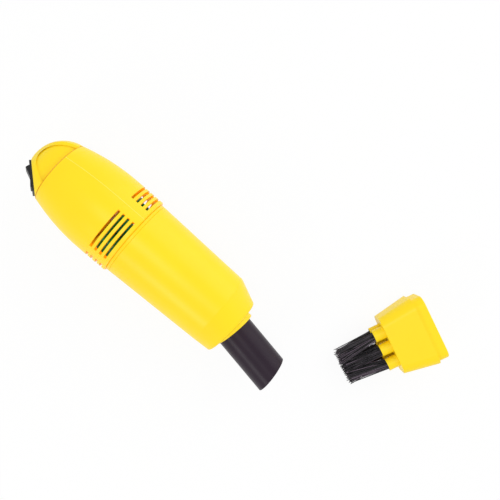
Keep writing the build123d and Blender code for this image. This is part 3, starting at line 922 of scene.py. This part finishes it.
    def tufts(self) -> bpy.types.Object:
        """Grow the six tufts of strands."""
        growth = Growth("tuft_growth")
        seed = growth.size("Seed", self.seed, "NodeSocketInt")
        shade_seed = growth.size("Shade seed", self.shade_seed, "NodeSocketInt")
        bend = growth.size("Bend", self.bend * MM)
        loose = growth.random_vector(seed)
        lengths = growth.random(self.shortest, self.longest, seed)
        bends = growth.vectors("SCALE", loose, bend)
        marked = growth.store(self.roots(growth, seed), BEND, "FLOAT_VECTOR", bends)
        tinted = growth.store(marked, TINT, "FLOAT", growth.random(0.0, 1.0, shade_seed))
        scale = growth.node("ShaderNodeCombineXYZ", sockets={"X": lengths, "Y": 1.0, "Z": 1.0})
        grown = growth.node(
            "GeometryNodeInstanceOnPoints",
            sockets={
                "Points": tinted,
                "Instance": self.strand(growth),
                "Rotation": self.leans(growth, loose),
                "Scale": scale.outputs[0],
            },
        )
        growth.finish(self.bent(growth, growth.realize(grown.outputs[0])), self.paints.material("bristle"))
        return growth.bake("brush_strands", self.mouths(), self.place())

    def build(self) -> None:
        """Make the brush's own pieces."""
        strands = self.tufts()
        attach(strands, Body.BRUSH.value)
        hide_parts("brush_tufts")
        LOG.info("brush_strands: %d faces", len(strands.data.polygons))


@dataclass
class Viewpoint:
    """The photograph's camera, in millimetres from the middle of the seam."""

    seam: Vector
    stands: Place = (25.05, 4.27, 319.9)
    aims: Place = (45.67, 33.45, -21.1)
    up_heading: float = 130.806
    lens: float = 47.58
    sensor_width: float = 36.0
    nearest: float = 10.0
    farthest: float = 20000.0

    def build(self) -> None:
        """Make the camera and set it as the scene's own."""
        data = bpy.data.cameras.new("viewpoint")
        data.sensor_width = self.sensor_width
        data.lens = self.lens
        data.clip_start = self.nearest * MM
        data.clip_end = self.farthest * MM
        camera = placed("viewpoint", data)
        ahead = (Vector(self.aims) - Vector(self.stands)).normalized()
        heading = math.radians(self.up_heading)
        right = ahead.cross(Vector((math.cos(heading), math.sin(heading), 0.0))).normalized()
        above = right.cross(ahead)
        turn = Matrix((right, above, -ahead)).transposed().to_4x4()
        camera.matrix_world = Matrix.Translation(self.seam + Vector(self.stands) * MM) @ turn
        bpy.context.scene.camera = camera


@dataclass(frozen=True)
class SoftLamp:
    """A square lamp that faces the object, in metres and watts."""

    name: str
    at: Place
    power: float
    width: float

    def build(self) -> None:
        """Make the lamp."""
        data = bpy.data.lights.new(self.name, "AREA")
        data.energy = self.power
        data.size = self.width
        lamp = placed(self.name, data)
        lamp.location = self.at
        lamp.rotation_euler = (-Vector(self.at)).to_track_quat("-Z", "Y").to_euler()


@dataclass
class Studio:
    """Pale floor, soft lamps and an even surround, in metres."""

    floor_width: float = 6.0
    floor_white: float = 0.92
    floor_glow: float = 0.92
    surround: float = 0.74
    lamps: tuple[SoftLamp, ...] = (
        SoftLamp("top_lamp", (-0.06, -0.16, 0.95), power=1.3, width=0.25),
        SoftLamp("far_lamp", (0.15, 0.80, 0.45), power=3.1, width=0.9),
        SoftLamp("near_lamp", (0.04, -0.66, 0.38), power=0.75, width=0.16),
    )

    def floor_material(self) -> bpy.types.Material:
        """A matte white that the camera and glossy faces see as nearly pure white."""
        bench = Bench("floor_white")
        path = bench.node("ShaderNodeLightPath").outputs
        by_camera = bench.signal(path["Is Camera Ray"])
        by_gloss = bench.signal(path["Is Glossy Ray"])
        share = (by_camera + by_gloss).held() * self.floor_glow
        matte = bench.node("ShaderNodeBsdfDiffuse", sockets={"Color": opaque((self.floor_white,) * 3)})
        bright = bench.node("ShaderNodeEmission", sockets={"Color": opaque(WHITE), "Strength": 1.0})
        sockets = {"Fac": share, 1: matte.outputs[0], 2: bright.outputs[0]}
        mixed = bench.node("ShaderNodeMixShader", sockets=sockets)
        bench.node("ShaderNodeOutputMaterial", sockets={"Surface": mixed.outputs[0]})
        return bench.material

    def floor(self) -> None:
        """Make the floor, seen as white, that still takes the object's shadow."""
        half = self.floor_width / 2
        corners = [(-half, -half, 0), (half, -half, 0), (half, half, 0), (-half, half, 0)]
        mesh = bpy.data.meshes.new("floor")
        mesh.from_pydata(corners, [], [(0, 1, 2, 3)])
        floor = placed("floor", mesh)
        dress(floor, self.floor_material())

    def build(self) -> None:
        """Make the floor, the lamps and the surround."""
        self.floor()
        for lamp in self.lamps:
            lamp.build()
        world = bpy.data.worlds.new("surround")
        bpy.context.scene.world = world
        world.use_nodes = True
        background = world.node_tree.nodes["Background"].inputs
        background["Color"].default_value = opaque(WHITE)
        background["Strength"].default_value = self.surround
        bpy.context.scene.view_settings.view_transform = "Standard"


def main() -> None:
    """Load the frame, dress it, and set the camera and the studio."""
    logging.basicConfig(level=logging.INFO, format="%(message)s")
    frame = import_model()
    paints = Paintbox(frame["record"])
    paints.dress_nodes(frame["nodes"])
    chamber_low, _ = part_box("front_chamber")
    ring_low, ring_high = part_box("front_ring")
    seam = Vector((chamber_low.x, (ring_low.y + ring_high.y) / 2, (ring_low.z + ring_high.z) / 2))
    LOG.info("middle of the seam at %s", tuple(round(value, 5) for value in seam))
    paints.mark_parting([frame["nodes"][name] for name in ("rear_shell_left", "rear_shell_right")], seam)
    Viewpoint(seam).build()
    Studio().build()
    LooseBrush(seam, paints).build()


if __name__ == "__main__":
    main()
